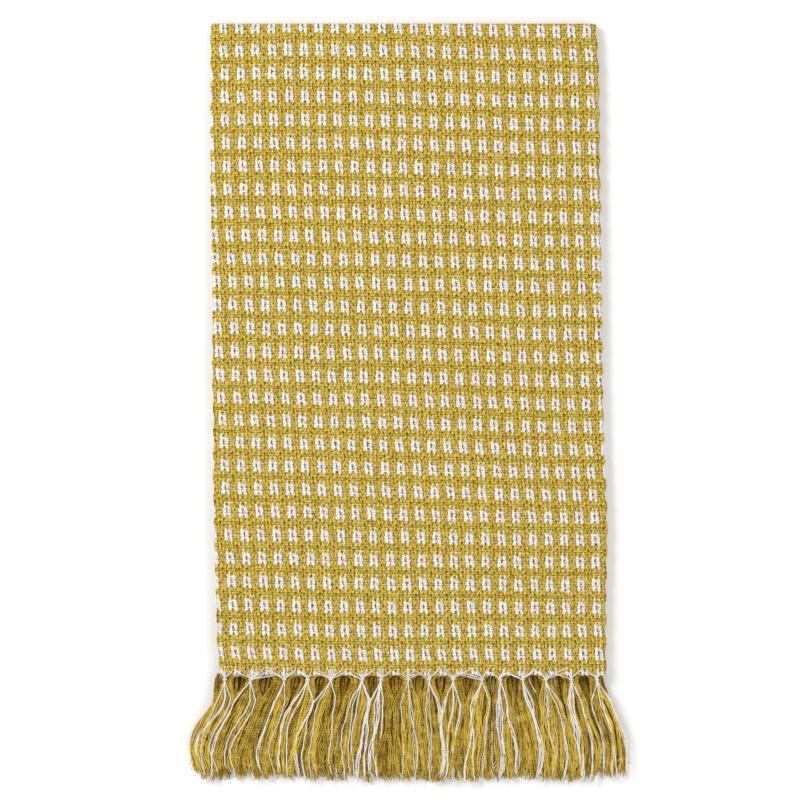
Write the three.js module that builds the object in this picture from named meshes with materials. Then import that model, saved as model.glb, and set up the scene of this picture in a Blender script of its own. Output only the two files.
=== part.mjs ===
// A woven throw blanket with a tasselled fringe at both ends, folded for display.
// Both side flaps are folded in over the middle panel, one on the other, and the
// long strip is then folded in half, so that the two fringed ends lie together.
// X runs across the folded throw, Y from the fringe to the half fold, Z up.
// The origin is at the middle of the underside. All sizes are in millimetres.

import * as THREE from "three";

// The cloth as it comes off the loom.
const clothWidth = 1270;
const clothLength = 1524;
const clothThickness = 2.7;

// The folding.
const panelShare = 0.353; // of the cloth's width, roughly thirds
const leftFlapShare = 0.3205;
const touchGap = 0.3; // air between layers that lie on each other
const leanDegrees = 0.71; // the stack drifts sideways on its way to the fringe

// The fringe: warp ends gathered into tassels.
const tasselPitch = 28;
const tasselLength = 126; // from the cloth's edge to the longest tips
const tasselTrim = 5; // how unevenly the tips are cut
const gatherGap = 13; // between neighbouring tassels at the cloth's edge
const knotWidth = 7;
const knotDrop = 7; // from the cloth's edge down to the knot
const skirtGap = 7; // between neighbouring tassels at the tips
const skirtWander = 2; // how far a tassel strays from straight
const sideFlare = 42; // how far the outermost tassels splay out
const fringeDrift = 5; // how far all the tips trail to the left
const edgeStrip = 5; // hem band that carries the inner fringes

const curveSteps = 10; // facets in each half turn of a fold

// Layers are counted from the table up: three of the back half, three of the front.
const layerPitch = clothThickness + touchGap;
const layersPerHalf = 3;
const stackHeight = 2 * layersPerHalf * layerPitch - touchGap;
const middleHeight = stackHeight / 2;
const turnDepth = middleHeight; // the outermost half turn is as deep as half the stack
const flatLength = clothLength / 2 - turnDepth; // from the hem to where the layers start to turn
const panelWidth = Math.round(clothWidth * panelShare);
const leftFlapWidth = Math.round(clothWidth * leftFlapShare);
const rightFlapWidth = clothWidth - panelWidth - leftFlapWidth;
const panelLeft = -panelWidth / 2;
const panelRight = panelWidth / 2;
const gatherWidth = tasselPitch - gatherGap;
const skirtWidth = tasselPitch - skirtGap;

const clothMaterial = new THREE.MeshStandardMaterial({ color: 0xc0a447, roughness: 0.95, metalness: 0 });
const flapMaterial = new THREE.MeshStandardMaterial({ color: 0xa98b30, roughness: 0.95, metalness: 0 });
const turnMaterial = new THREE.MeshStandardMaterial({ color: 0x8f7426, roughness: 0.95, metalness: 0 });
const fringeMaterial = new THREE.MeshStandardMaterial({ color: 0xd2bd76, roughness: 0.9, metalness: 0 });

const throwBlanket = new THREE.Group();
throwBlanket.name = "folded_throw";

// Every piece leans with the stack: its X drifts as it comes nearer the fringe.
const leanRate = Math.tan(THREE.MathUtils.degToRad(leanDegrees));
const leanShear = new THREE.Matrix4().makeShear(0, 0, -leanRate, 0, 0, 0);

function addPiece(name, geometry, material) {
  geometry.applyMatrix4(leanShear);
  const mesh = new THREE.Mesh(geometry, material);
  mesh.name = name;
  throwBlanket.add(mesh);
}

function extruded(outline, depth) {
  return new THREE.ExtrudeGeometry(outline, { depth, bevelEnabled: false, curveSegments: curveSteps });
}

// The height of a layer's underside. depth counts from the outside of the throw:
// 0 is the panel, 1 the left flap, 2 the right flap.
function layerFloor(half, depth) {
  const index = half === "back" ? depth : 2 * layersPerHalf - 1 - depth;
  return index * layerPitch;
}

// A flat stretch of cloth from the hem to the start of the half fold.
function flatLayer(xLow, xHigh, half, depth) {
  const length = flatLength - touchGap;
  const geometry = new THREE.BoxGeometry(xHigh - xLow, length, clothThickness);
  geometry.translate((xLow + xHigh) / 2, length / 2, layerFloor(half, depth) + clothThickness / 2);
  return geometry;
}

// Half a ring, the section of cloth that turns back on itself.
function halfRing(radius, startAngle) {
  const outer = radius + clothThickness / 2;
  const inner = radius - clothThickness / 2;
  const outline = new THREE.Shape();
  outline.absarc(0, 0, outer, startAngle, startAngle + Math.PI, false);
  outline.absarc(0, 0, inner, startAngle + Math.PI, startAngle, true);
  outline.closePath();
  return outline;
}

// A side fold joins the panel to the flap that is `depth` layers inside it.
function sideFold(side, half, depth) {
  const radius = (depth * layerPitch) / 2;
  const startAngle = side === "left" ? Math.PI / 2 : -Math.PI / 2;
  const edge = side === "left" ? panelLeft - touchGap : panelRight + touchGap;
  const panelMiddle = layerFloor(half, 0) + clothThickness / 2;
  const flapMiddle = layerFloor(half, depth) + clothThickness / 2;
  const length = flatLength - touchGap;
  const geometry = extruded(halfRing(radius, startAngle), length);
  geometry.rotateX(Math.PI / 2);
  geometry.translate(edge, length, (panelMiddle + flapMiddle) / 2);
  return geometry;
}

// The half fold carries each layer of the back half over into the front half.
function halfFoldTurn(xLow, xHigh, depth) {
  const radius = (layersPerHalf - depth - 0.5) * layerPitch;
  const geometry = extruded(halfRing(radius, -Math.PI / 2), xHigh - xLow);
  const alongX = new THREE.Matrix4().makeBasis(
    new THREE.Vector3(0, 1, 0),
    new THREE.Vector3(0, 0, 1),
    new THREE.Vector3(1, 0, 0),
  );
  geometry.applyMatrix4(alongX);
  geometry.translate(xLow, flatLength, middleHeight);
  return geometry;
}

// A tassel's middle line splays outwards the nearer it is to a side of the throw.
function splay(x, along) {
  const sideways = (2 * x) / panelWidth;
  return (sideFlare * sideways ** 3 - fringeDrift) * along ** 2;
}

// One tassel: gathered at the hem, tied in a knot, and spreading to its tips.
function tassel(x, number, zLow) {
  const length = tasselLength - tasselTrim * (0.5 + 0.5 * Math.sin(1.7 * number));
  const wander = skirtWander * Math.sin(2.3 * number);
  const stations = [
    { drop: touchGap, width: gatherWidth },
    { drop: knotDrop, width: knotWidth },
    { drop: knotDrop + 0.15 * length, width: 0.55 * skirtWidth },
    { drop: 0.5 * length, width: 0.85 * skirtWidth },
    { drop: 0.8 * length, width: skirtWidth },
    { drop: length, width: 0.9 * skirtWidth },
  ];
  const leftSide = [];
  const rightSide = [];
  for (const { drop, width } of stations) {
    const along = drop / length;
    const middle = x + splay(x, along) + wander * along;
    leftSide.push(new THREE.Vector2(middle - width / 2, -drop));
    rightSide.unshift(new THREE.Vector2(middle + width / 2, -drop));
  }
  const geometry = extruded(new THREE.Shape([...leftSide, ...rightSide]), clothThickness);
  geometry.translate(0, 0, zLow);
  return geometry;
}

// The fringe of a folded-in flap: a hem band with its row of tassels.
function flapFringe(xLow, xHigh, zLow) {
  const count = Math.floor((xHigh - xLow) / tasselPitch);
  const margin = (xHigh - xLow - count * tasselPitch) / 2;
  const outline = new THREE.Shape();
  outline.moveTo(xHigh, -touchGap);
  outline.lineTo(xLow, -touchGap);
  outline.lineTo(xLow, -edgeStrip);
  for (let index = 0; index < count; index += 1) {
    const x = xLow + margin + (index + 0.5) * tasselPitch;
    const length = tasselLength - tasselTrim * (1.5 + 0.5 * Math.sin(2.1 * index));
    const tip = x + splay(x, 1);
    outline.lineTo(x - gatherWidth / 2, -edgeStrip);
    outline.lineTo(tip - skirtWidth / 2, -length);
    outline.lineTo(tip + skirtWidth / 2, -length);
    outline.lineTo(x + gatherWidth / 2, -edgeStrip);
  }
  outline.lineTo(xHigh, -edgeStrip);
  outline.closePath();
  const geometry = extruded(outline, clothThickness);
  geometry.translate(0, 0, zLow);
  return geometry;
}

// Where each layer of cloth lies across the throw, from the outside in.
const layers = [
  { name: "panel", xLow: panelLeft, xHigh: panelRight },
  { name: "left_flap", xLow: panelLeft, xHigh: panelLeft + leftFlapWidth },
  { name: "right_flap", xLow: panelRight - rightFlapWidth, xHigh: panelRight },
];

for (const half of ["back", "front"]) {
  for (const [depth, layer] of layers.entries()) {
    const material = depth === 0 ? clothMaterial : flapMaterial;
    addPiece(`${half}_${layer.name}`, flatLayer(layer.xLow, layer.xHigh, half, depth), material);
  }
  addPiece(`${half}_left_fold`, sideFold("left", half, 1), turnMaterial);
  addPiece(`${half}_right_fold`, sideFold("right", half, 2), turnMaterial);
}

for (const [depth, layer] of layers.entries()) {
  addPiece(`half_fold_${layer.name}`, halfFoldTurn(layer.xLow, layer.xHigh, depth), turnMaterial);
}

const tasselCount = Math.floor(panelWidth / tasselPitch);
for (const half of ["back", "front"]) {
  for (let number = 1; number <= tasselCount; number += 1) {
    const x = (number - 0.5 - tasselCount / 2) * tasselPitch;
    addPiece(`${half}_tassel_${number}`, tassel(x, number, layerFloor(half, 0)), fringeMaterial);
  }
  for (const depth of [1, 2]) {
    const layer = layers[depth];
    const name = `${half}_${layer.name}_fringe`;
    addPiece(name, flapFringe(layer.xLow, layer.xHigh, layerFloor(half, depth)), fringeMaterial);
  }
}

// Bring the origin to the middle of the underside.
const extent = new THREE.Box3().setFromObject(throwBlanket);
const middle = extent.getCenter(new THREE.Vector3());
throwBlanket.position.set(-middle.x, -middle.y, -extent.min.z);

export default throwBlanket;
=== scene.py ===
# A folded throw blanket: one woven cloth, mustard with small white checks, and its tasselled fringe.
# All in metres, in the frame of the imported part: X across, Y from the fringe to the half fold, Z up.

import math
import random

import bpy
import numpy as np
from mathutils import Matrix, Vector


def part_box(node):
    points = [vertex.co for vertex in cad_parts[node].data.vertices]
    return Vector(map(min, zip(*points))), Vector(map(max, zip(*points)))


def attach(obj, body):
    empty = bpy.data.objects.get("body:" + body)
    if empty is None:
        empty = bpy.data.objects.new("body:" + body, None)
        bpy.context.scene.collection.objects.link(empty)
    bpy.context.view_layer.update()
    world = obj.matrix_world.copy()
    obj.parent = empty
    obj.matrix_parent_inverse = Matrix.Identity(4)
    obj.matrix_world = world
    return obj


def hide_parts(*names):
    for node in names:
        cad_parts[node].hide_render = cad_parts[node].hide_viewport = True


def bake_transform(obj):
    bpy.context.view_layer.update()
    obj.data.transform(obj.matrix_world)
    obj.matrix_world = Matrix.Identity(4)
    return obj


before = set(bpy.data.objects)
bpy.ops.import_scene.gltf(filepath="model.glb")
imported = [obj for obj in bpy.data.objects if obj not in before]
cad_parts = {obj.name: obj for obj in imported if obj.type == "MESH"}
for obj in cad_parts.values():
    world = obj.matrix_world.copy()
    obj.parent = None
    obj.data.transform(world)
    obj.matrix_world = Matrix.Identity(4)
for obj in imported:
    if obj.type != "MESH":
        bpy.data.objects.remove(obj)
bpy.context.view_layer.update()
bpy.ops.object.select_all(action="DESELECT")

mm = 0.001

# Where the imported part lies.
turnLow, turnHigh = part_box("half_fold_panel")
panelLow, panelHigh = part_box("front_panel")
foldLine = panelHigh.y                        # where the layers start to turn over the half fold
hemLine = panelLow.y
middle = (turnLow.z + turnHigh.z) / 2         # height of the plane between the two halves
panelWidth = turnHigh.x - turnLow.x
lean = panelHigh.x - turnHigh.x               # how far the stack drifts sideways from fold to hem
flatLength = foldLine - hemLine
hemLeft = turnLow.x + lean
hemRight = panelHigh.x


def smooth(t):
    t = np.clip(t, 0.0, 1.0)
    return t * t * (3 - 2 * t)


def hill(t):
    return np.exp(-t * t)


# The cloth.
cloth = {
    "thickness": 2.4 * mm,
    "layerPitch": 2.9 * mm,      # from the middle of one layer to the middle of the next
    "outerRadius": 7.5 * mm,     # half fold, at the middle of the panel layer
    "columnPitch": 18.68 * mm,   # from one white stripe to the next
    "rowPitch": 27.15 * mm,      # from one row of checks to the next
    "columnShift": 0.282,        # of a column
    "hemToRow": 25.06 * mm,      # from the hem to the middle of the last row of checks
    "drift": 0.0214,             # slope of the stripes against the side folds, at the half fold
    "driftGrowth": 0.0109,       # how the slope grows along the cloth
    "droop": 6.5 * mm,           # how far the rows sink towards the right side
    # Where the weave is pulled askew: the place, as shares across the panel and of the way from the
    # half fold to the hem, how far the pull reaches in those shares, and the shift right and down in mm.
    "pulls": (
        (0.0, 0.8, 0.55, 0.28, 2.75, -3.95), (1.0, 0.5, 0.12, 0.7, -3.17, -0.42),
        (0.0, 0.0, 0.15, 0.3, -0.9, 3.17), (0.9, 0.1, 0.4, 0.35, -0.23, 1.86),
        (0.9, 0.6, 0.25, 0.2, -0.27, 1.66), (0.3, 0.0, 0.5, 0.6, -0.62, -0.59),
        (0.35, 1.0, 0.25, 0.12, 0.0, 2.61), (0.1, 0.55, 0.4, 0.08, 0.0, 1.85),
    ),
    # How the side folds stray from straight: mm below the half fold, how far it reaches, mm outwards.
    "leftBulges": ((545, 110, 2.4), (200, 90, 1.2), (390, 55, 1.6), (0, 60, -1.0), (745, 16, -2.5)),
    "leftInset": 2.2 * mm,
    "rightBulges": ((575, 75, 3.4), (0, 30, -2.0)),
    "waves": 0.018,              # height of the front's soft waves, as a share of its height
    "scallop": 0.9 * mm,         # how far the mustard bands stand out at the side folds
    "puff": 0.3 * mm,            # how far the white checks stand out
    "hemPull": 1.3 * mm,         # how far each knot pulls the hem down
    "pullWidth": 6 * mm,
    "pullHeight": 16 * mm,
    "fineSteps": (141, 234),     # across the panel, along the front; each a multiple of 3
    "coarseSteps": (36, 69),     # across a flap, along the back
    "turnSteps": (9, 12),        # around the left and the right side fold
    "halfFoldDegrees": (0, 16, 31, 45, 57, 67, 75, 80.5, 84.5, 87, 88.5, 89.4),
    "innerEvery": 3,             # the inner face takes every third row and column
}


# The fringe. The yarns of a piece are gathered first and then made into one mesh.
fringe = {
    "mustardRadius": 0.8 * mm,
    "whiteRadius": 0.72 * mm,
    "strayRadius": 0.36 * mm,
    "sides": 4,
    "steps": 27,
    "length": 128 * mm,          # from the hem to the tips
    "trim": 15 * mm,             # how unevenly the tips are cut
    "knotDrop": 4.5 * mm,        # from the hem to the knots
    "knotWidth": 2.3 * mm,       # half the width of the yarn round a knot
    "sag": 0.3,                  # how far the layers of fringe settle towards the tips
    "knotGaps": (1.63, 2.1, 1.44, 1.44, 1.95, 1.19, 1.7, 1.3, 1.5, 1.8, 1.13, 1.4, 1.44, 1.6, 1.6),
    "firstKnot": 7.5 * mm,       # from the left end of the hem
    "endGaps": (10 * mm, 9 * mm),
    # How far each tassel's tips trail to the right, in mm.
    "tipShifts": (-25, -30, -28, -25, -18, -16, -8, 2, 4, -6, -7, 4, 21, 16, 17, 24),
    # A yarn's own ripples: rate and start of the wide, the fine and the upright one, and the fine one's mm.
    "ripples": ((8, 14), (0, 6.3), (30, 62), (0, 6.3), (8, 14), (0, 6.3), (0.15, 0.6)),
    "strays": 3,                 # frayed ends for each lock
    "innerCount": 14,            # tassels on each inner row
    "innerOffsets": {"back": 0.45, "front": -0.2},
}
# What a tassel is made of: its locks and the yarns in each, its thickness, how far a lock strays from its
# place, and how much painted shade darkens it at the root, under the hem.
tasselKinds = {
    "front": {"locks": 6, "yarns": 8, "thickness": 3.4 * mm, "stray": 1.525 * mm, "rootPaintedShade": 0.5},
    "back": {"locks": 5, "yarns": 5, "thickness": 2 * mm, "stray": 1.525 * mm, "rootPaintedShade": 0.5},
    "inner": {"locks": 6, "yarns": 5, "thickness": 1.9 * mm, "stray": 0.4 * mm, "rootPaintedShade": 1.0},
}


def frontKnots():
    gaps = np.array([0, *fringe["knotGaps"]]) * cloth["columnPitch"]
    return hemLeft + fringe["firstKnot"] + np.cumsum(gaps)


def acrossCloth():
    # The folded section from the left flap's edge to the right flap's. Each row holds x, the depth
    # inside the panel, the face's direction in both, the distance along the cloth, the turn outwards.
    pitch = cloth["layerPitch"]
    leftEdge, rightEdge = turnLow.x, turnHigh.x
    flapSteps, panelSteps = cloth["coarseSteps"][0], cloth["fineSteps"][0]
    leftTurns, rightTurns = cloth["turnSteps"]
    leftLow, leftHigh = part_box("front_left_flap")
    rightLow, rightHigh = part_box("front_right_flap")
    leftFlap = leftHigh.x - leftLow.x - lean
    rightFlap = rightHigh.x - rightLow.x - lean
    rows = []
    along = -panelWidth / 2 - math.pi * pitch / 2 - leftFlap
    for step in range(flapSteps):
        way = leftFlap * step / flapSteps
        rows.append((leftEdge + leftFlap - way, pitch, 0, 1, along + way, 0))
    along += leftFlap
    for step in range(leftTurns):
        angle = math.pi * step / leftTurns
        s, c = math.sin(angle), math.cos(angle)
        way = angle * pitch / 2
        rows.append((leftEdge - pitch / 2 * s, pitch / 2 * (1 + c), -s, c, along + way, -s))
    along = -panelWidth / 2
    for step in range(panelSteps):
        way = panelWidth * step / panelSteps
        rows.append((leftEdge + way, 0, 0, -1, along + way, 0))
    along = panelWidth / 2
    for step in range(rightTurns):
        angle = math.pi * step / rightTurns
        s, c = math.sin(angle), math.cos(angle)
        rows.append((rightEdge + pitch * s, pitch * (1 - c), s, -c, along + angle * pitch, s))
    along += math.pi * pitch
    for step in range(flapSteps + 1):
        way = rightFlap * step / flapSteps
        rows.append((rightEdge - way, 2 * pitch, 0, 1, along + way, 0))
    return np.array(rows, float)


def alongCloth():
    # From the back hem over the half fold to the front hem. Each row holds y, the turn's angle, and
    # the distance along the cloth from the half fold, which is negative on the back.
    radius = cloth["outerRadius"]
    quarter = math.pi / 2 * radius
    backSteps, frontSteps = cloth["coarseSteps"][1], cloth["fineSteps"][1]
    rows = []
    for step in range(backSteps):
        y = hemLine + flatLength * step / backSteps
        rows.append((y, 0, y - foldLine - quarter))
    rising = cloth["halfFoldDegrees"]
    for degrees in [*rising, 90, *(180 - a for a in reversed(rising[1:]))]:
        angle = math.radians(degrees)
        rows.append((foldLine, angle, (angle - math.pi / 2) * radius))
    for step in range(frontSteps + 1):
        y = foldLine - flatLength * step / frontSteps
        rows.append((y, math.pi, foldLine - y + quarter))
    return np.array(rows, float)


def weaveCoordinates(along, fromFold):
    # Columns and rows of the weave. The stripes drift to the right and the rows droop to the right.
    drift = cloth["drift"] * fromFold + cloth["driftGrowth"] * fromFold * np.abs(fromFold)
    lastRow = flatLength + math.pi / 2 * cloth["outerRadius"] - cloth["hemToRow"]
    rightwards = np.clip(along / panelWidth + 0.5, -0.3, 1.3)
    for across, down, reachAcross, reachDown, right, low in cloth["pulls"]:
        pull = hill((rightwards - across) / reachAcross)
        pull = pull * hill((fromFold / flatLength - down) / reachDown)
        along = along - right * mm * pull
        fromFold = fromFold - low * mm * pull
    column = (along - drift) / cloth["columnPitch"] + cloth["columnShift"]
    droop = cloth["droop"] * rightwards * smooth((lastRow - fromFold) / (0.4 * flatLength))
    row = (fromFold - droop - lastRow) / cloth["rowPitch"]
    return column, row


def sideShift(y, side):
    # How far a side fold's line strays from straight, outwards positive.
    down = foldLine - y
    shift = mm * sum(rise * hill((down / mm - at) / reach) for at, reach, rise in cloth[side + "Bulges"])
    return shift - cloth["leftInset"] if side == "left" else shift


def clothPoints(across, alongRows, offset):
    # Every crossing of the two sets of rows on the folded cloth, offset along the face's direction.
    x, depth, faceX, faceDepth, along, outwards = (c[:, None] for c in across.T)
    y, angle, fromFold = (c[None, :] for c in alongRows.T)
    column, row = weaveCoordinates(along, fromFold)
    share = np.clip((x - turnLow.x) / panelWidth, 0, 1)
    shift = share * sideShift(y, "right") - (1 - share) * sideShift(y, "left")
    shift = shift + lean * (foldLine - y) / flatLength
    band = 0.5 - 0.5 * np.cos(2 * math.pi * row)          # 1 in the middle of a mustard band
    scallop = cloth["scallop"] * (2 * band - 1) * outwards
    isFace = 1.0 if offset > 0 else 0.0
    check = smooth(1.6 * (0.5 + 0.5 * np.cos(2 * math.pi * column)) - 0.3) * smooth(1.5 * (1 - band))
    lift = offset + isFace * cloth["puff"] * (check - 0.4)
    radius = cloth["outerRadius"] - depth - lift * faceDepth
    front = smooth(angle / math.pi * 2 - 1)               # the back lies flat on the table
    wave = np.sin(17 * x + 9 * y + 0.6) * np.sin(13 * y - 6 * x) + 0.6 * np.sin(31 * x - 12 * y)
    radius = radius * (1 + cloth["waves"] * front * wave)
    px = x + shift + scallop + lift * faceX + 0 * y
    nearest = np.abs(px[:, -1][:, None] - frontKnots()[None, :]).min(axis=1)[:, None]
    pull = cloth["hemPull"] * (1.6 * hill(nearest / cloth["pullWidth"]) - 0.6)
    py = y + radius * np.sin(angle) - pull * smooth(1 - (y - hemLine) / cloth["pullHeight"])
    pz = middle - radius * np.cos(angle)
    return np.stack([px, py, pz], axis=-1), np.stack([column + 0 * row, row + 0 * column], axis=-1)


def buildMesh(name, points, faces, maps, faceMaterials=(), loopMaps=()):
    mesh = bpy.data.meshes.new(name)
    mesh.from_pydata(points.tolist(), [], faces)
    corners = np.zeros(len(mesh.loops), np.int32)
    mesh.loops.foreach_get("vertex_index", corners)
    for mapName, values in maps.items():
        layer = mesh.uv_layers.new(name=mapName)
        layer.data.foreach_set("uv", values[corners].astype(np.float32).ravel())
    for mapName, values in dict(loopMaps).items():
        layer = mesh.uv_layers.new(name=mapName)
        layer.data.foreach_set("uv", values.astype(np.float32).ravel())
    if len(faceMaterials):
        mesh.polygons.foreach_set("material_index", np.array(faceMaterials, np.int32))
    mesh.update()
    piece = bpy.data.objects.new(name, mesh)
    bpy.context.scene.collection.objects.link(piece)
    return piece


def makeCloth():
    across, alongRows = acrossCloth(), alongCloth()
    every = cloth["innerEvery"]
    half = cloth["thickness"] / 2
    outer, outerWeave = clothPoints(across, alongRows, half)
    inner, innerWeave = clothPoints(across[::every], alongRows[::every], -half)
    m, n = outer.shape[:2]
    p, q = inner.shape[:2]
    points = np.concatenate([outer.reshape(-1, 3), inner.reshape(-1, 3)])
    weave = np.concatenate([outerWeave.reshape(-1, 2), innerWeave.reshape(-1, 2)])
    # A flat layout of the cloth for baking: the outer face above, the hidden inner face below.
    down, up = np.meshgrid(np.arange(n) / (n - 1), np.arange(m) / (m - 1))
    outerFlat = np.stack([0.004 + 0.992 * up, 0.13 + 0.866 * down], axis=-1).reshape(-1, 2)
    down, up = np.meshgrid(np.arange(q) / (q - 1), np.arange(p) / (p - 1))
    innerFlat = np.stack([0.004 + 0.992 * up, 0.02 + 0.1 * down], axis=-1).reshape(-1, 2)
    flat = np.concatenate([outerFlat, innerFlat])

    def outside(i, j):
        return i * n + j

    def inside(i, j):
        return m * n + (i // every) * q + j // every

    faces = [
        (outside(i, j), outside(i, j + 1), outside(i + 1, j + 1), outside(i + 1, j))
        for i in range(m - 1)
        for j in range(n - 1)
    ]
    faces += [
        (inside(i, j), inside(i + every, j), inside(i + every, j + every), inside(i, j + every))
        for i in range(0, m - 1, every)
        for j in range(0, n - 1, every)
    ]
    rims = []
    for i in range(0, m - 1, every):
        fine = [outside(i + k, 0) for k in range(every + 1)]
        rims.append((*fine, inside(i + every, 0), inside(i, 0)))
        fine = [outside(i + k, n - 1) for k in reversed(range(every + 1))]
        rims.append((*fine, inside(i, n - 1), inside(i + every, n - 1)))
    for j in range(0, n - 1, every):
        fine = [outside(0, j + k) for k in reversed(range(every + 1))]
        rims.append((*fine, inside(0, j), inside(0, j + every)))
        fine = [outside(m - 1, j + k) for k in range(every + 1)]
        rims.append((*fine, inside(m - 1, j + every), inside(m - 1, j)))
    flatCorners = [flat[v] for face in faces for v in face]
    for index in range(len(rims)):
        left = 0.004 + 0.992 * index / len(rims)
        width = 0.9 / len(rims)
        for k in range(every + 1):
            flatCorners.append((left + width * k / every, 0.012))
        flatCorners += [(left + width, 0.004), (left, 0.004)]
    bake = {"OFBake": np.array(flatCorners)}
    return buildMesh("throw_cloth", points, faces + rims, {"Weave": weave}, loopMaps=bake)


throwCloth = makeCloth()
print("cloth", len(throwCloth.data.polygons), "faces")


def tipShift(x):
    return float(np.interp(x, frontKnots(), fringe["tipShifts"])) * mm


class YarnBag:
    # The yarns of one piece: their paths, radii, whether they are white, and a shade each: a random tone,
    # with painted shade near the root of mustard yarns.
    def __init__(self, seed):
        self.luck = random.Random(seed)
        self.yarns = []

    def add(self, path, radii, white, tone=None):
        path, radii = np.array(path), np.array(radii)
        path[:, 2] = np.maximum(path[:, 2], radii)
        tone = self.luck.random() if tone is None else tone
        self.yarns.append((path, radii, white, tone * np.ones(len(path))))

    def build(self, name):
        sides = fringe["sides"]
        points, faces, kinds, bake, turn, shade = [], [], [], [], [], []
        start = 0
        turns = np.arange(sides) / sides * 2 * math.pi
        count = len(self.yarns)
        for index, (path, radii, white, tone) in enumerate(self.yarns):
            steps = len(path)
            tangent = np.gradient(path, axis=0)
            tangent /= np.linalg.norm(tangent, axis=1, keepdims=True)
            side = np.cross(tangent, (0, 0, 1.0))
            side /= np.maximum(np.linalg.norm(side, axis=1, keepdims=True), 1e-6)
            up = np.cross(side, tangent)
            round1, round2 = np.cos(turns)[None, :, None], np.sin(turns)[None, :, None]
            ring = radii[:, None, None] * (round1 * side[:, None] + round2 * up[:, None])
            points.append((path[:, None] + ring).reshape(-1, 3))
            lengths = np.concatenate([[0], np.cumsum(np.linalg.norm(np.diff(path, axis=0), axis=1))])
            strip = (index + 0.06 + 0.88 * np.arange(sides + 1) / sides) / count
            rungs = 0.01 + 0.98 * np.arange(steps) / (steps - 1)
            for k in range(steps - 1):
                for s in range(sides):
                    t = (s + 1) % sides
                    a, b = start + k * sides, start + (k + 1) * sides
                    faces.append((a + s, a + t, b + t, b + s))
                    for j, i in ((k, s), (k, s + 1), (k + 1, s + 1), (k + 1, s)):
                        bake.append((strip[i], rungs[j]))
                        turn.append((i / sides, lengths[j]))
            faces.append(tuple(start + s for s in reversed(range(sides))))
            faces.append(tuple(start + (steps - 1) * sides + s for s in range(sides)))
            low = (index + 0.5) / count
            bake += [(low, 0.004 + 0.0004 * s) for s in range(2 * sides)]
            turn += [(0.5, 0.0)] * (2 * sides)
            kinds += [1 if white else 0] * (sides * (steps - 1) + 2)
            shade += list(np.repeat(tone, sides))
            start += steps * sides
        maps = {"Yarn": np.array(turn), "OFBake": np.array(bake)}
        piece = buildMesh(name, np.concatenate(points), faces, {}, kinds, maps)
        layer = piece.data.attributes.new("shade", "FLOAT", "POINT")
        layer.data.foreach_set("value", np.array(shade, np.float32))
        return piece


def hangingPath(bag, x, spread, reach, shift, height, wave, gather=1.0):
    # One yarn's way from the hem to its tip. gather is the knot's width, as a share of the tassel's.
    luck = bag.luck
    t = np.linspace(0, 1, fringe["steps"]) ** 1.2
    fall = math.sqrt(reach ** 2 - shift ** 2)
    hidden = 1.5 * mm                                     # each yarn starts inside the cloth
    y = hemLine + hidden - (fall + hidden) * t
    down = (hemLine - y) / fringe["length"]
    knot = fringe["knotDrop"] / fringe["length"]
    before = smooth(np.clip(down / knot, 0, 1))
    after = smooth(np.clip((down - knot) / 0.24, 0, 1))
    tight = spread * (1 - (1 - gather) * before * (1 - after) - 0.18 * (1 - before))
    # The tips trail sideways. The leftmost yarns fall straight before they splay, and swing back more.
    late = hill((x - hemLeft) / (16 * mm))
    curved = smooth((down - 0.04 - 0.16 * late) / (0.65 - 0.2 * late))
    straight = np.minimum(down / 0.75, 1)
    trail = curved + (1 - late) * 0.5 * (straight - curved)
    sweep = shift * (trail - (0.12 + 0.2 * late) * smooth((down - 0.7 + 0.06 * late) / 0.3))
    # A lock sways as one, and each yarn ripples by itself.
    phase, phase2 = wave
    sway = 2.3 * mm * np.sin(5.2 * down + phase) + 1.3 * mm * np.sin(12 * down + phase2)
    sway = sway * smooth(down / 0.4)
    ripple = [luck.uniform(*span) for span in fringe["ripples"]]
    wide, fine, upright, fineSize = ripple[0:2], ripple[2:4], ripple[4:6], ripple[6] * mm
    own = 0.6 * mm * np.sin(wide[0] * down + wide[1]) * smooth(down / 0.3)
    own += fineSize * np.sin(fine[0] * down + fine[1]) * smooth(down / 0.2)
    px = x + tight + sweep + sway + own
    sag = 1 - fringe["sag"] * smooth(down / 0.9)
    pz = height * sag + 0.35 * mm * np.sin(upright[0] * down + upright[1]) * smooth(down / 0.2)
    return np.stack([px, y, pz], axis=1)


def addStray(bag, place):
    # A short frayed end beside a yarn's tip.
    luck = bag.luck
    t = np.linspace(0, 1, 5)
    swing = luck.uniform(-1, 1)
    path = place + t[:, None] * np.array([6 * swing, -luck.uniform(3, 10), -0.5]) * mm
    path[:, 0] += np.sin(3 * t) * luck.uniform(-1, 1) * mm
    bag.add(path, np.full(5, fringe["strayRadius"]), luck.random() < 0.25, luck.random())


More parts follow.
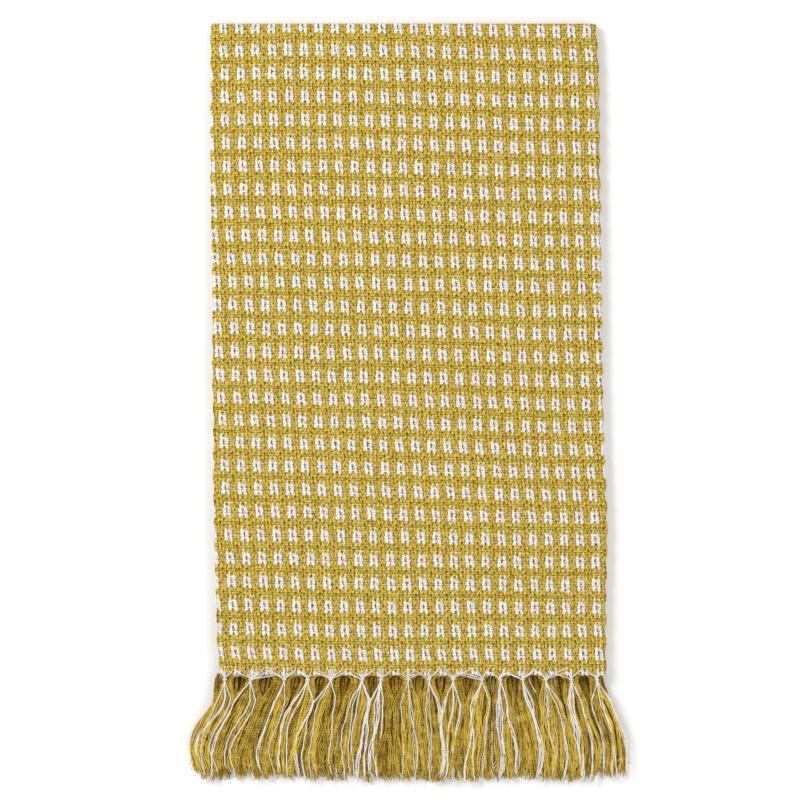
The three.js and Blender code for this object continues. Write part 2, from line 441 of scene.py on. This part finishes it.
def addTassel(bag, kind, x, halfGap, height, shift, gather):
    # The mustard part of a tassel: twisted locks of fine yarns, tied together at the knot.
    luck = bag.luck
    locks, yarns, thickness = (tasselKinds[kind][key] for key in ("locks", "yarns", "thickness"))
    rootPaintedShade = tasselKinds[kind]["rootPaintedShade"]
    trim = fringe["trim"]
    trimmed = luck.uniform(0, 0.4) * trim
    for lock in range(locks):
        place = (lock + 0.5) / locks * 2 - 1
        spread = place * halfGap + luck.uniform(-1, 1) * tasselKinds[kind]["stray"]
        wave = (luck.uniform(0, 6.3), luck.uniform(0, 6.3))
        lockShift = shift + luck.uniform(-5, 5) * mm
        lockHeight = height + luck.uniform(-0.5, 0.35) * thickness
        reach = fringe["length"] - trimmed - luck.uniform(0, 0.65) * trim
        width = halfGap / locks * luck.uniform(0.8, 1.25)
        twist = luck.choice((-1, 1)) * luck.uniform(1.5, 5)
        bright = luck.uniform(-0.2, 0.7)
        for number in range(yarns):
            angle = 2 * math.pi * (number + luck.random()) / yarns
            out = math.sqrt(luck.uniform(0.2, 1))
            length = reach - abs(luck.gauss(0, 0.3)) * trim
            path = hangingPath(bag, x, spread, length, lockShift, lockHeight, wave, gather)
            down = (hemLine - path[:, 1]) / fringe["length"]
            turn = angle + twist * down
            loose = out * (0.45 + 0.55 * smooth(down / 0.2) - 0.15 * smooth((down - 0.75) / 0.25))
            path[:, 0] += loose * np.cos(turn) * width
            path[:, 2] += loose * np.sin(turn) * thickness * 0.5
            path[-3:, 0] += np.array([0.15, 0.5, 1]) * luck.gauss(0, 1.3) * mm
            radii = np.full(len(path), fringe["mustardRadius"] * luck.uniform(0.8, 1.2))
            radii[-2:] *= (0.8, 0.45)
            # Painted shade: mustard yarns darken towards the root, where the hem and the tassels around
            # them shade it.
            rootShadeFactor = 1 - rootPaintedShade * (1 - smooth(down / 0.3))
            bag.add(path, radii, False, (bright + luck.uniform(0, 0.45)) * rootShadeFactor - 0.5 * (1 - rootShadeFactor))
        for number in range(fringe["strays"]):
            addStray(bag, path[-2 - number])


def addWhites(bag, x, halfGap, height, count, shift):
    # White yarns fan out from the knot, by themselves or side by side, and lie on top.
    luck = bag.luck
    for number in range(count):
        place = ((number + 0.5) / count * 2 - 1) + luck.uniform(-0.4, 0.4)
        wave = (luck.uniform(0, 6.3), luck.uniform(0, 6.3))
        pair = luck.choice((1, 1, 2, 2, 3))
        reach = fringe["length"] - luck.uniform(0, 0.9) * fringe["trim"]
        ownShift = shift + luck.uniform(-8, 8) * mm
        for strand in range(pair):
            spread = place * halfGap * 0.95 + strand * 1.1 * mm
            path = hangingPath(bag, x, spread, reach - strand * 2 * mm, ownShift, height, wave, 0.12)
            down = (hemLine - path[:, 1]) / fringe["length"]
            path[:, 0] = x + (path[:, 0] - x) * (1 - 0.9 * hill((down - 0.02) / 0.05))
            path[-1, 0] += luck.gauss(0, 1.5) * mm
            radii = np.full(len(path), fringe["whiteRadius"] * luck.uniform(0.7, 1.15))
            radii *= 1 + 0.12 * np.sin(np.linspace(0, 40, len(path)) + luck.uniform(0, 6))
            radii[-2:] *= (0.9, 0.6)
            bag.add(path, radii, True)


def addKnot(bag, x, height):
    # A turn of white yarn round the gathered yarns.
    t = np.linspace(0, 2 * math.pi, 9)
    px = x + fringe["knotWidth"] * np.cos(t)
    py = hemLine - fringe["knotDrop"] + 0.6 * mm * np.sin(t)
    pz = height + (1.1 * np.sin(t) - 0.6) * mm
    bag.add(np.stack([px, py, pz], axis=1), np.full(len(t), 0.95 * mm), True)


def stripeEnds(knots):
    # Where the white stripes reach the hem, each with the knots that its left and right yarns go to.
    hemAlong = flatLength + math.pi / 2 * cloth["outerRadius"]
    along = np.linspace(-0.52, 0.52, 100) * panelWidth
    column, row = weaveCoordinates(along, np.full(100, hemAlong))
    centre = (hemLeft + hemRight) / 2
    ends = []
    for number in range(math.ceil(column[0]), math.floor(column[-1]) + 1):
        x = centre + float(np.interp(number, column, along))
        for side in (-1, 1):
            start = x + side * 3 * mm
            if hemLeft < start < hemRight:
                ahead = [k for k in knots if (k - start) * side > -4 * mm]
                ends.append((start, min(ahead or list(knots), key=lambda k: abs(k - start))))
    return ends


def addCrossing(bag, start, knot, height):
    # A pair of white yarns lies on the cloth from its stripe to the knot.
    luck = bag.luck
    t = np.linspace(0, 1, 7)
    for strand in range(luck.choice((1, 1, 2, 2))):
        fromX = start + luck.uniform(-1.2, 1.2) * mm
        fromY = hemLine + luck.uniform(3, 13) * mm
        toX = knot + luck.uniform(-0.8, 0.8) * mm
        toY = hemLine - fringe["knotDrop"] - luck.uniform(0, 1) * mm
        bend = luck.uniform(-1, 1) * mm
        px = fromX + (toX - fromX) * smooth(t)
        py = fromY + (toY - fromY) * t + bend * np.sin(math.pi * t)
        pz = height + 0.7 * mm * np.sin(math.pi * t) - 1.4 * mm * (1 - t) ** 3
        bag.add(np.stack([px, py, pz], axis=1), np.full(len(t), fringe["whiteRadius"] * 0.85), True)


topFace = middle + cloth["outerRadius"] + cloth["thickness"] / 2
bottomLayer = middle - cloth["outerRadius"]
knots = frontKnots()
ends = stripeEnds(knots)
fringePieces = []


def addFrontTassel(number, x):
    bag = YarnBag(100 + number)
    leftGap, rightGap = fringe["endGaps"]
    left = (x - knots[number - 2]) / 2 if number > 1 else leftGap
    right = (knots[number] - x) / 2 if number < len(knots) else rightGap
    halfGap = (left + right) / 2
    shift = fringe["tipShifts"][number - 1] * mm
    gather = bag.luck.uniform(0.3, 0.6)
    addTassel(bag, "front", x + (right - left) / 2, halfGap, topFace - 2.3 * mm, shift, gather)
    addWhites(bag, x, halfGap, topFace + 0.1 * mm, bag.luck.choice((2, 3, 3, 4)), shift)
    addKnot(bag, x, topFace)
    for start, knot in ends:
        if knot == x:
            addCrossing(bag, start, knot, topFace + 0.5 * mm)
    piece = bag.build(f"front_tassel_yarns_{number}")
    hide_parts(f"front_tassel_{number}")
    fringePieces.append((piece, "upper_half"))


def addBackTassel(number):
    bag = YarnBag(200 + number)
    halfGap = (hemRight - hemLeft) / len(knots) / 2
    x = hemLeft + (2 * number - 1) * halfGap
    shift = tipShift(x)
    addTassel(bag, "back", x, halfGap, bottomLayer + 0.8 * mm, shift * 0.9, 0.6)
    addWhites(bag, x, halfGap, bottomLayer + 0.2 * mm, 2, shift * 0.8)
    addKnot(bag, x, bottomLayer + 1.5 * mm)
    piece = bag.build(f"back_tassel_yarns_{number}")
    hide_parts(f"back_tassel_{number}")
    fringePieces.append((piece, "lower_half"))


def addInnerRow(half, flap):
    sign = 1 if half == "front" else -1
    depth = 1 if flap == "left_flap" else 2
    bag = YarnBag(300 + 10 * depth + sign)
    low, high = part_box(f"{half}_{flap}")
    width = high.x - low.x - lean
    start = hemLeft if flap == "left_flap" else hemRight - width
    radius = cloth["outerRadius"] - depth * cloth["layerPitch"]
    count = fringe["innerCount"]
    halfGap = width / count / 2
    offset = fringe["innerOffsets"][half] * (1 if depth == 1 else -1) * halfGap
    height = middle + sign * radius - (1.6 * mm if half == "front" else 0)
    for number in range(count):
        x = start + (2 * number + 1) * halfGap + offset * math.sin(math.pi * (number + 0.5) / count)
        side = (x - (hemLeft + hemRight) / 2) / (panelWidth / 2)
        shift = tipShift(x) + (6 * mm if side > 0 else -2 * mm) * abs(side) ** 5
        x += (3 * mm if side > 0 else -8 * mm) * abs(side) ** 9
        addTassel(bag, "inner", x, halfGap, height, shift, 1.0)
        addWhites(bag, x, halfGap, height, 1, shift)
    piece = bag.build(f"{half}_{flap}_yarns")
    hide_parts(f"{half}_{flap}_fringe")
    fringePieces.append((piece, "upper_half" if half == "front" else "lower_half"))


for number, x in enumerate(knots, start=1):
    addFrontTassel(number, x)
for number in range(1, len(knots) + 1):
    addBackTassel(number)
for half in ("back", "front"):
    for flap in ("left_flap", "right_flap"):
        addInnerRow(half, flap)
faceCount = sum(len(piece.data.polygons) for piece, body in fringePieces)
print("fringe", len(fringePieces), "pieces", faceCount, "faces")


# Materials.
yarnLook = {
    "mustardDeep": (0.19, 0.082, 0.002),
    "mustardPale": (0.80, 0.59, 0.10),
    "white": (0.92, 0.89, 0.84),
    "whiteDeep": (0.66, 0.60, 0.53),
    "twist": 3.2,                # mm of yarn for each turn of its twist
    "relief": 0.2 * mm,
}


def addNode(tree, kind, **settings):
    node = tree.nodes.new(kind)
    for key, value in settings.items():
        setattr(node, key, value)
    return node


def put(tree, value, socket):
    if isinstance(value, bpy.types.NodeSocket):
        tree.links.new(value, socket)
    else:
        socket.default_value = value


def maths(tree, operation, *values):
    node = addNode(tree, "ShaderNodeMath", operation=operation)
    for index, value in enumerate(values):
        put(tree, value, node.inputs[index])
    return node.outputs[0]


def ramp(tree, value, low, high, start=0.0, end=1.0):
    # A smooth step from start to end while value goes from low to high.
    node = addNode(tree, "ShaderNodeMapRange", interpolation_type="SMOOTHSTEP")
    for index, number in enumerate((value, low, high, start, end)):
        put(tree, number, node.inputs[index])
    return node.outputs[0]


def mixColour(tree, share, first, second):
    node = addNode(tree, "ShaderNodeMix", data_type="RGBA")
    put(tree, share, node.inputs[0])
    put(tree, first if isinstance(first, bpy.types.NodeSocket) else (*first, 1), node.inputs[6])
    put(tree, second if isinstance(second, bpy.types.NodeSocket) else (*second, 1), node.inputs[7])
    return node.outputs[2]


def noise(tree, vector, scale, detail=2.0):
    node = addNode(tree, "ShaderNodeTexNoise")
    tree.links.new(vector, node.inputs["Vector"])
    node.inputs["Scale"].default_value = scale
    node.inputs["Detail"].default_value = detail
    return node


def newMaterial(name):
    material = bpy.data.materials.new(name)
    material.use_nodes = True
    tree = material.node_tree
    shader = tree.nodes["Principled BSDF"]
    return material, tree, shader


weaveLook = {
    "picks": 9,                  # weft yarns in a row of checks
    "strandEdge": 0.285,         # where white ends meet mustard ones, in columns from the stripe
    "markEdge": 0.025,           # how softly a white yarn's side fades, in columns
    "markEnd": 0.015,            # and its end, in rows
    # The white yarns of a check. Each runs from one point to a lower one, with its half width at both
    # and how fully it shows. Across is in columns and down in rows, both from the check's middle.
    "whiteStrokes": (
        (-0.175, -0.27, -0.19, 0.235, 0.072, 0.10, 1.0),
        (-0.13, -0.05, -0.06, 0.15, 0.03, 0.055, 0.85),
        (0.110, -0.22, 0.150, 0.25, 0.125, 0.095, 0.9),
        (0.16, 0.24, 0.18, 0.34, 0.05, 0.03, 0.7),
        (-0.11, -0.43, -0.16, -0.27, 0.020, 0.035, 0.58),
        (0.19, -0.43, 0.06, -0.20, 0.024, 0.05, 0.56),
        (-0.15, 0.25, -0.10, 0.47, 0.03, 0.02, 0.36),
    ),
    # White weft and spots: across, down, half width, half height, how fully.
    "whiteSpots": (
        (0.04, -0.195, 0.30, 0.035, 0.78), (-0.05, 0.12, 0.24, 0.028, 0.72),
        (0.19, -0.39, 0.045, 0.045, 0.6),
    ),
    # Hollows between the yarns, darkened brown with painted shade: across, down, half width, half height,
    # how dark.
    "shadedHollows": (
        (-0.035, 0.01, 0.035, 0.06, 0.9), (-0.045, -0.09, 0.03, 0.04, 0.3),
        (-0.275, -0.10, 0.035, 0.05, 0.45), (-0.30, 0.15, 0.05, 0.05, 0.4),
        (0.275, -0.08, 0.03, 0.12, 0.3), (-0.28, 0.39, 0.045, 0.06, 0.5), (0.21, 0.41, 0.035, 0.035, 0.3),
    ),
    # The mustard from shaded to lit, for a tone that holds random unevenness and painted shade and
    # highlights.
    "mustardTones": (
        (0.0, (0.14, 0.066, 0.003)), (0.5, (0.48, 0.335, 0.038)), (1.0, (0.82, 0.63, 0.15)),
    ),
    # Painted shade: the brown that holes and hollows between the yarns are darkened to.
    "shadedHole": (0.17, 0.085, 0.003),
    # Lit and shaded copies of the white yarn's colour.
    "whiteBright": (0.92, 0.90, 0.89),
    "whiteShade": (0.46, 0.40, 0.36),
    "relief": 0.9 * mm,
    # How far noise moves the columns and the rows, wide, in dashes and fine.
    "columnWander": (0.20, 0.13, 0.07),
    "rowWander": (0.12, 0.07, 0.04),
}


def makeWeaveMaterial():
    look = weaveLook
    material, tree, shader = newMaterial("woven_cotton")
    uv = addNode(tree, "ShaderNodeUVMap", uv_map="Weave")
    place = addNode(tree, "ShaderNodeSeparateXYZ")
    tree.links.new(uv.outputs[0], place.inputs[0])

    def channels(scale, detail):
        split = addNode(tree, "ShaderNodeSeparateColor")
        tree.links.new(noise(tree, uv.outputs[0], scale, detail).outputs["Color"], split.inputs[0])
        return split.outputs

    wide, dashes, fine = channels(0.9, 1.0), channels(7.0, 1.0), channels(24.0, 2.0)

    def times(*values):
        product = values[0]
        for value in values[1:]:
            product = maths(tree, "MULTIPLY", product, value)
        return product

    def wandered(axis, amounts):
        value = place.outputs[axis]
        for source, amount in zip((wide, dashes, fine), amounts):
            value = maths(tree, "MULTIPLY_ADD", source[axis], amount, value)
        return maths(tree, "SUBTRACT", value, sum(amounts) / 2)

    column = wandered(0, look["columnWander"])
    row = wandered(1, look["rowWander"])
    s = maths(tree, "WRAP", column, 0.5, -0.5)
    t = maths(tree, "WRAP", row, 0.5, -0.5)
    away = maths(tree, "ABSOLUTE", s)

    # Two mustard and two white ends in each column, with their picks half a step apart.
    edge = look["strandEdge"]
    isWhiteEnd = maths(tree, "LESS_THAN", away, edge)
    overWhite = maths(tree, "DIVIDE", away, edge)
    overMustard = maths(tree, "DIVIDE", maths(tree, "SUBTRACT", away, edge), 0.5 - edge)
    isMustardEnd = maths(tree, "SUBTRACT", 1.0, isWhiteEnd)
    across = maths(tree, "ADD", times(overWhite, isWhiteEnd), times(overMustard, isMustardEnd))
    centred = maths(tree, "MULTIPLY_ADD", across, 2.0, -1.0)
    profile = maths(tree, "SUBTRACT", 1.0, times(centred, centred))
    onRight = maths(tree, "GREATER_THAN", s, 0.0)
    zigzag = maths(tree, "PINGPONG", maths(tree, "ADD", s, 0.5), 0.25)
    slanted = maths(tree, "MULTIPLY_ADD", dashes[2], 0.12, row)
    slanted = maths(tree, "MULTIPLY_ADD", zigzag, 0.5, slanted)
    rib = maths(tree, "COSINE", times(column, 8 * math.pi))
    crossed = times(rib, maths(tree, "COSINE", times(slanted, 8 * math.pi)))
    pickLines = maths(tree, "COSINE", times(row, 2 * math.pi * look["picks"]))
    pickLines = times(pickLines, maths(tree, "COSINE", times(row, 2 * math.pi)))

    def stroke(x0, y0, x1, y1, width0, width1, strength):
        # A yarn between two points, fading at its sides and ends.
        if y0 > y1:
            x0, y0, x1, y1, width0, width1 = x1, y1, x0, y0, width1, width0
        slope, growth = (x1 - x0) / (y1 - y0), (width1 - width0) / (y1 - y0)
        line = maths(tree, "MULTIPLY_ADD", t, slope, x0 - slope * y0)
        width = maths(tree, "MULTIPLY_ADD", t, growth, width0 - growth * y0)
        off = maths(tree, "SUBTRACT", maths(tree, "ABSOLUTE", maths(tree, "SUBTRACT", s, line)), width)
        soft, end = look["markEdge"], look["markEnd"]
        side = ramp(tree, off, -soft, soft, strength, 0.0)
        return times(side, ramp(tree, t, y0 - end, y0 + end), ramp(tree, t, y1 - end, y1 + end, 1.0, 0.0))

    def distance(x, y, wide, high):
        dx, dy = maths(tree, "DIVIDE", x, wide), maths(tree, "DIVIDE", y, high)
        return maths(tree, "SQRT", maths(tree, "ADD", times(dx, dx), times(dy, dy)))

    def spot(x, y, wide, high, strength):
        far = distance(maths(tree, "SUBTRACT", s, x), maths(tree, "SUBTRACT", t, y), wide, high)
        return ramp(tree, far, 0.6, 1.25, strength, 0.0)

    def gap(y, wide, high):
        # A hollow midway between two stripes.
        over = maths(tree, "WRAP", maths(tree, "SUBTRACT", t, y), 0.5, -0.5)
        far = distance(maths(tree, "SUBTRACT", 0.5, away), over, wide, high)
        return ramp(tree, far, 0.4, 1.3, 1.0, 0.0)

    def strongest(values):
        best = values[0]
        for value in values[1:]:
            best = maths(tree, "MAXIMUM", best, value)
        return best

    # Faint yarns break up into specks.
    marks = [stroke(*yarn) for yarn in look["whiteStrokes"]] + [spot(*yarn) for yarn in look["whiteSpots"]]
    shown = strongest(marks)
    speck = maths(tree, "MULTIPLY_ADD", pickLines, 0.12, dashes[0])
    speck = maths(tree, "MULTIPLY_ADD", fine[2], 0.8, speck)
    shown = maths(tree, "ADD", shown, maths(tree, "MULTIPLY_ADD", speck, 1.2, -1.08))
    white = ramp(tree, shown, 0.22, 0.72)

    # Holes between the checks and hollows between the yarns: they dent the bump, and their painted shade
    # dims the white yarns and darkens the colour.
    shadedHole = maths(tree, "MAXIMUM", gap(0.49, 0.065, 0.06), times(gap(-0.375, 0.05, 0.045), 0.6))
    shadedHollow = strongest([spot(*hollow) for hollow in look["shadedHollows"]])
    white = times(white, maths(tree, "SUBTRACT", 1.0, times(shadedHollow, 0.55)))

    # The yarn relief: it shapes the bump, and in the tone it paints shade at each yarn's sides and between
    # picks, and highlights on the crests.
    body = maths(tree, "MULTIPLY_ADD", profile, 0.34, 0.23)
    body = maths(tree, "MULTIPLY_ADD", pickLines, 0.2, body)
    body = maths(tree, "MULTIPLY_ADD", crossed, -0.26, body)
    grain = maths(tree, "SUBTRACT", fine[2], 0.5)
    patch = maths(tree, "SUBTRACT", dashes[2], 0.5)
    uneven = maths(tree, "MULTIPLY_ADD", grain, 1.7, times(patch, 1.5))
    height = maths(tree, "MULTIPLY_ADD", uneven, 0.45, body)
    height = maths(tree, "SUBTRACT", height, maths(tree, "MULTIPLY_ADD", shadedHole, 1.2, times(shadedHollow, 0.8)))
    # The tone: the random unevenness, plus the relief as painted shade and highlights.
    tone = maths(tree, "ADD", uneven, body)

    tones = addNode(tree, "ShaderNodeValToRGB")
    stops = tones.color_ramp.elements
    stops.new(0.5)
    for stop, (at, colour) in zip(stops, look["mustardTones"]):
        stop.position = at
        stop.color = (*colour, 1)
    tree.links.new(maths(tree, "MULTIPLY_ADD", tone, 0.94, 0.1), tones.inputs[0])
    # Painted shade: holes and hollows are darkened towards the brown.
    paintedHollowShade = times(maths(tree, "MAXIMUM", shadedHole, shadedHollow), 0.85)
    mustard = mixColour(tree, paintedHollowShade, tones.outputs[0], look["shadedHole"])
    # Painted shade on the white yarns: darker at their sides, along fine grooves and between picks, and the
    # right-hand yarn of each check darker all over.
    plyGrooveShade = maths(tree, "COSINE", times(column, 16 * math.pi))
    whiteTone = maths(tree, "SUBTRACT", tone, times(onRight, 0.2))
    whiteTone = maths(tree, "MULTIPLY_ADD", plyGrooveShade, 0.12, whiteTone)
    whiteTone = ramp(tree, whiteTone, -0.36, 0.7)
    pale = mixColour(tree, whiteTone, look["whiteShade"], look["whiteBright"])
    colour = mixColour(tree, white, mustard, pale)
    tree.links.new(colour, shader.inputs["Base Color"])
    relief = addNode(tree, "ShaderNodeBump")
    relief.inputs["Distance"].default_value = look["relief"]
    relief.inputs["Strength"].default_value = 0.9
    tree.links.new(height, relief.inputs["Height"])
    tree.links.new(relief.outputs[0], shader.inputs["Normal"])
    shader.inputs["Roughness"].default_value = 0.92
    shader.inputs["Specular IOR Level"].default_value = 0.06
    return material


def makeYarnGroup():
    # Twisted yarn: a colour between a deep and a pale one, and the height of its plies.
    group = bpy.data.node_groups.new("twistedYarn", "ShaderNodeTree")
    for name in ("Deep", "Pale"):
        group.interface.new_socket(name=name, in_out="INPUT", socket_type="NodeSocketColor")
    group.interface.new_socket(name="Twist", in_out="INPUT", socket_type="NodeSocketFloat")
    group.interface.new_socket(name="Color", in_out="OUTPUT", socket_type="NodeSocketColor")
    group.interface.new_socket(name="Height", in_out="OUTPUT", socket_type="NodeSocketFloat")
    given = group.nodes.new("NodeGroupInput")
    out = group.nodes.new("NodeGroupOutput")
    uv = addNode(group, "ShaderNodeUVMap", uv_map="Yarn")
    place = addNode(group, "ShaderNodeSeparateXYZ")
    group.links.new(uv.outputs[0], place.inputs[0])
    lengthMm = maths(group, "MULTIPLY", place.outputs[1], 1000.0)
    turns = maths(group, "DIVIDE", lengthMm, given.outputs["Twist"])
    plies = maths(group, "MULTIPLY_ADD", place.outputs[0], 2.0, turns)
    wave = maths(group, "COSINE", maths(group, "MULTIPLY", plies, 2 * math.pi))
    ply = maths(group, "MULTIPLY_ADD", wave, 0.5, 0.5)
    # The shade attribute: each yarn's random tone, with painted shade near the root of mustard yarns.
    shade = addNode(group, "ShaderNodeAttribute", attribute_type="GEOMETRY", attribute_name="shade")
    coords = addNode(group, "ShaderNodeTexCoord")
    patches = noise(group, coords.outputs["Object"], 110.0, 1.0)
    fibres = noise(group, coords.outputs["Object"], 620.0, 2.0)
    # Painted highlight: the crests of the twist's plies are coloured a little lighter, besides their bump.
    tone = maths(group, "MULTIPLY_ADD", shade.outputs["Fac"], 0.5, maths(group, "MULTIPLY", ply, 0.12))
    tone = maths(group, "SUBTRACT", tone, 0.56)
    tone = maths(group, "MULTIPLY_ADD", patches.outputs["Fac"], 0.7, tone)
    tone = maths(group, "MULTIPLY_ADD", fibres.outputs["Fac"], 1.25, tone)
    colour = mixColour(group, ramp(group, tone, 0.0, 1.15), given.outputs["Deep"], given.outputs["Pale"])
    group.links.new(colour, out.inputs["Color"])
    group.links.new(ply, out.inputs["Height"])
    return group


def makeYarnMaterial(name, group, deep, pale):
    deep, pale = yarnLook[deep], yarnLook[pale]
    material, tree, shader = newMaterial(name)
    node = addNode(tree, "ShaderNodeGroup", node_tree=group)
    node.inputs["Deep"].default_value = (*deep, 1)
    node.inputs["Pale"].default_value = (*pale, 1)
    node.inputs["Twist"].default_value = yarnLook["twist"]
    tree.links.new(node.outputs["Color"], shader.inputs["Base Color"])
    relief = addNode(tree, "ShaderNodeBump")
    relief.inputs["Distance"].default_value = yarnLook["relief"]
    relief.inputs["Strength"].default_value = 0.7
    tree.links.new(node.outputs["Height"], relief.inputs["Height"])
    tree.links.new(relief.outputs[0], shader.inputs["Normal"])
    shader.inputs["Roughness"].default_value = 0.85
    shader.inputs["Specular IOR Level"].default_value = 0.1
    return material


throwCloth.data.materials.append(makeWeaveMaterial())
yarnGroup = makeYarnGroup()
mustardYarn = makeYarnMaterial("mustard_yarn", yarnGroup, "mustardDeep", "mustardPale")
whiteYarn = makeYarnMaterial("white_yarn", yarnGroup, "whiteDeep", "white")
for piece, body in fringePieces:
    piece.data.materials.append(mustardYarn)
    piece.data.materials.append(whiteYarn)
    piece.data.shade_smooth()
    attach(piece, body)
throwCloth.data.shade_smooth()

flatParts = ("panel", "left_flap", "right_flap", "left_fold", "right_fold")
clothNodes = [f"{half}_{part}" for half in ("back", "front") for part in flatParts]
clothNodes += [f"half_fold_{part}" for part in ("panel", "left_flap", "right_flap")]
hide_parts(*clothNodes)
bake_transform(throwCloth)
print("materials done")


# The studio: a pale floor, soft light and the camera straight above.
studio = {
    "cameraHeight": 2.589,       # above the top face
    "lens": 100,
    "aim": (-0.0088, 0.0035),
    # Each light's place, diameter and power.
    "lights": {"key": ((-1.6, 1.1, 2.2), 1.1, 38), "fill": ((1.8, -1.2, 2.4), 2.0, 20)},
    "world": 0.68,
    "floorSize": 60,
    "floorDrop": 0.3 * mm,       # just under the throw
}


def makeFloor():
    bpy.ops.mesh.primitive_plane_add(size=studio["floorSize"], location=(0, 0, -studio["floorDrop"]))
    floor = bpy.context.object
    floor.name = "floor"
    material, tree, shader = newMaterial("floor_white")
    shader.inputs["Base Color"].default_value = (0.97, 0.97, 0.97, 1)
    shader.inputs["Roughness"].default_value = 0.9
    shader.inputs["Specular IOR Level"].default_value = 0.1
    floor.data.materials.append(material)


def makeLight(name, place, size, power):
    data = bpy.data.lights.new(name, "AREA")
    data.shape = "DISK"
    data.size = size
    data.energy = power
    light = bpy.data.objects.new(name, data)
    bpy.context.scene.collection.objects.link(light)
    light.location = place
    light.rotation_euler = (-Vector(place)).to_track_quat("-Z", "Y").to_euler()


makeFloor()
for name, (place, size, power) in studio["lights"].items():
    makeLight(name, place, size, power)
world = bpy.data.worlds.new("studio")
world.use_nodes = True
background = world.node_tree.nodes["Background"]
background.inputs[0].default_value = (1, 1, 1, 1)
background.inputs[1].default_value = studio["world"]
bpy.context.scene.world = world

cameraData = bpy.data.cameras.new("camera")
cameraData.lens = studio["lens"]
camera = bpy.data.objects.new("camera", cameraData)
bpy.context.scene.collection.objects.link(camera)
camera.location = (*studio["aim"], topFace + studio["cameraHeight"])
bpy.context.scene.camera = camera
bpy.context.scene.view_settings.view_transform = "Standard"

print("studio done")
